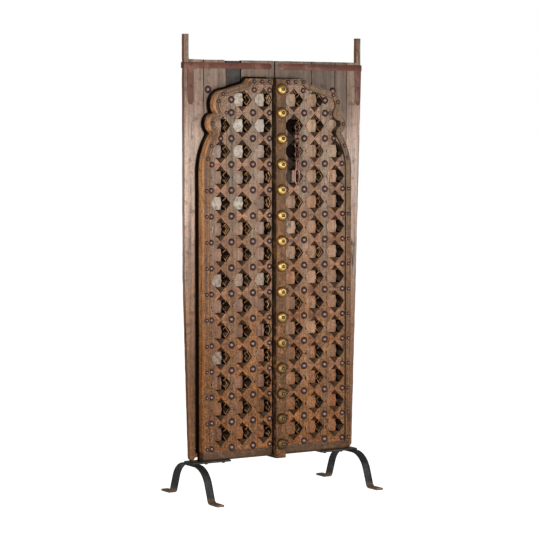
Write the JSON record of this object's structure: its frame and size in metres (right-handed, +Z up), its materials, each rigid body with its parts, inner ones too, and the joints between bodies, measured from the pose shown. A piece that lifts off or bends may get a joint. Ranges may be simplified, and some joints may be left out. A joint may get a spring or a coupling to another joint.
{
  "type": "indian panel door",
  "caption": "Antique pair of pivot door leaves with a cusped-arch star lattice, iron studs, brass bosses, a chain with hasp and arched iron feet; the leaves fold.",
  "frame": {"origin": "middle of the footprint, on the floor", "axes": "+Z up, -Y the carved front, +X to the right seen from the front"},
  "size_m": [0.958, 0.5206, 2.1],
  "materials": {
    "backing_board": "weathered grey-brown timber",
    "dark_board": "dark weathered timber",
    "carved_wood": "worn carved timber",
    "warm_wood": "warm brown timber",
    "stile_wood": "dark worn timber",
    "limewashed_block": "timber with worn limewash",
    "tan_block": "worn tan timber",
    "aged_brass": "tarnished brass",
    "rusted_strap": "red-brown rusted iron",
    "forged_iron": "dark forged iron",
    "black_iron": "black wrought iron"
  },
  "bodies": {
    "right_leaf": {"right_hinge_stile": "backing_board", "right_plank_outer": "backing_board", "right_plank_middle": "backing_board", "right_plank_inner": "backing_board", "right_field_board": "warm_wood", "right_upright_1": "carved_wood", "right_upright_2": "carved_wood", "right_upright_3": "carved_wood", "right_upright_4": "carved_wood", "right_cross_rails": "carved_wood", "right_corner_block": "carved_wood", "right_star_blocks": "tan_block", "right_arch_border": "warm_wood", "right_bottom_rail": "warm_wood", "right_iron_studs": "forged_iron", "right_small_studs": "forged_iron", "right_corner_strap": "rusted_strap", "right_rivets": "rusted_strap", "right_back_ledges": "backing_board", "right_foot_bar": "black_iron", "right_foot_plate": "black_iron", "right_foot_bolts": "black_iron", "centre_stile": "stile_wood", "brass_bosses": "aged_brass", "boss_nails": "forged_iron", "right_hinge_plates": "forged_iron", "chain_staple": "forged_iron"},
    "left_leaf": {"left_hinge_stile": "backing_board", "left_plank_outer": "backing_board", "left_plank_sunk": "dark_board", "left_plank_inner": "backing_board", "left_field_board": "warm_wood", "left_upright_1": "carved_wood", "left_upright_2": "carved_wood", "left_upright_3": "carved_wood", "left_upright_4": "carved_wood", "left_cross_rails": "carved_wood", "left_corner_block": "carved_wood", "left_star_blocks": "limewashed_block", "left_arch_border": "warm_wood", "left_bottom_rail": "warm_wood", "left_iron_studs": "forged_iron", "left_small_studs": "forged_iron", "left_corner_strap": "rusted_strap", "left_rivets": "rusted_strap", "left_back_ledges": "backing_board", "left_foot_bar": "black_iron", "left_foot_plate": "black_iron", "left_foot_bolts": "black_iron", "left_hinge_plates": "forged_iron", "hinge_pins": "forged_iron"},
    "link_1": {"chain_link_1": "forged_iron"},
    "link_2": {"chain_link_2": "forged_iron"},
    "link_3": {"chain_link_3": "forged_iron"},
    "link_4": {"chain_link_4": "forged_iron"},
    "link_5": {"chain_link_5": "forged_iron"},
    "link_6": {"chain_link_6": "forged_iron"},
    "link_7": {"chain_link_7": "forged_iron"},
    "link_8": {"chain_link_8": "forged_iron"},
    "hasp": {"chain_hasp": "forged_iron"}
  },
  "joints": [
    {"name": "leaf_fold", "type": "hinge", "parent": "right_leaf", "child": "left_leaf", "pos_m": [0, 0.049, 1], "axis": [0, 0, -1], "range_deg": [0, 100]},
    {"name": "link_1_swing", "type": "hinge", "parent": "right_leaf", "child": "link_1", "pos_m": [0.067, -0.072, 1.6885], "axis": [0, 1, 0], "range_deg": [-20, 2]},
    {"name": "link_2_swing", "type": "hinge", "parent": "link_1", "child": "link_2", "pos_m": [0.067, -0.072, 1.6679], "axis": [-1, 0, 0], "range_deg": [0, 25]},
    {"name": "link_3_swing", "type": "hinge", "parent": "link_2", "child": "link_3", "pos_m": [0.067, -0.072, 1.6473], "axis": [0, 1, 0], "range_deg": [-20, 2]},
    {"name": "link_4_swing", "type": "hinge", "parent": "link_3", "child": "link_4", "pos_m": [0.067, -0.072, 1.6267], "axis": [-1, 0, 0], "range_deg": [0, 25]},
    {"name": "link_5_swing", "type": "hinge", "parent": "link_4", "child": "link_5", "pos_m": [0.067, -0.072, 1.6061], "axis": [0, 1, 0], "range_deg": [-20, 2]},
    {"name": "link_6_swing", "type": "hinge", "parent": "link_5", "child": "link_6", "pos_m": [0.067, -0.072, 1.5855], "axis": [-1, 0, 0], "range_deg": [0, 25]},
    {"name": "link_7_swing", "type": "hinge", "parent": "link_6", "child": "link_7", "pos_m": [0.067, -0.072, 1.5649], "axis": [0, 1, 0], "range_deg": [-20, 2]},
    {"name": "link_8_swing", "type": "hinge", "parent": "link_7", "child": "link_8", "pos_m": [0.067, -0.072, 1.5443], "axis": [-1, 0, 0], "range_deg": [0, 25]},
    {"name": "hasp_swing", "type": "hinge", "parent": "link_8", "child": "hasp", "pos_m": [0.067, -0.072, 1.5237], "axis": [0, 1, 0], "range_deg": [-20, 2]}
  ]
}
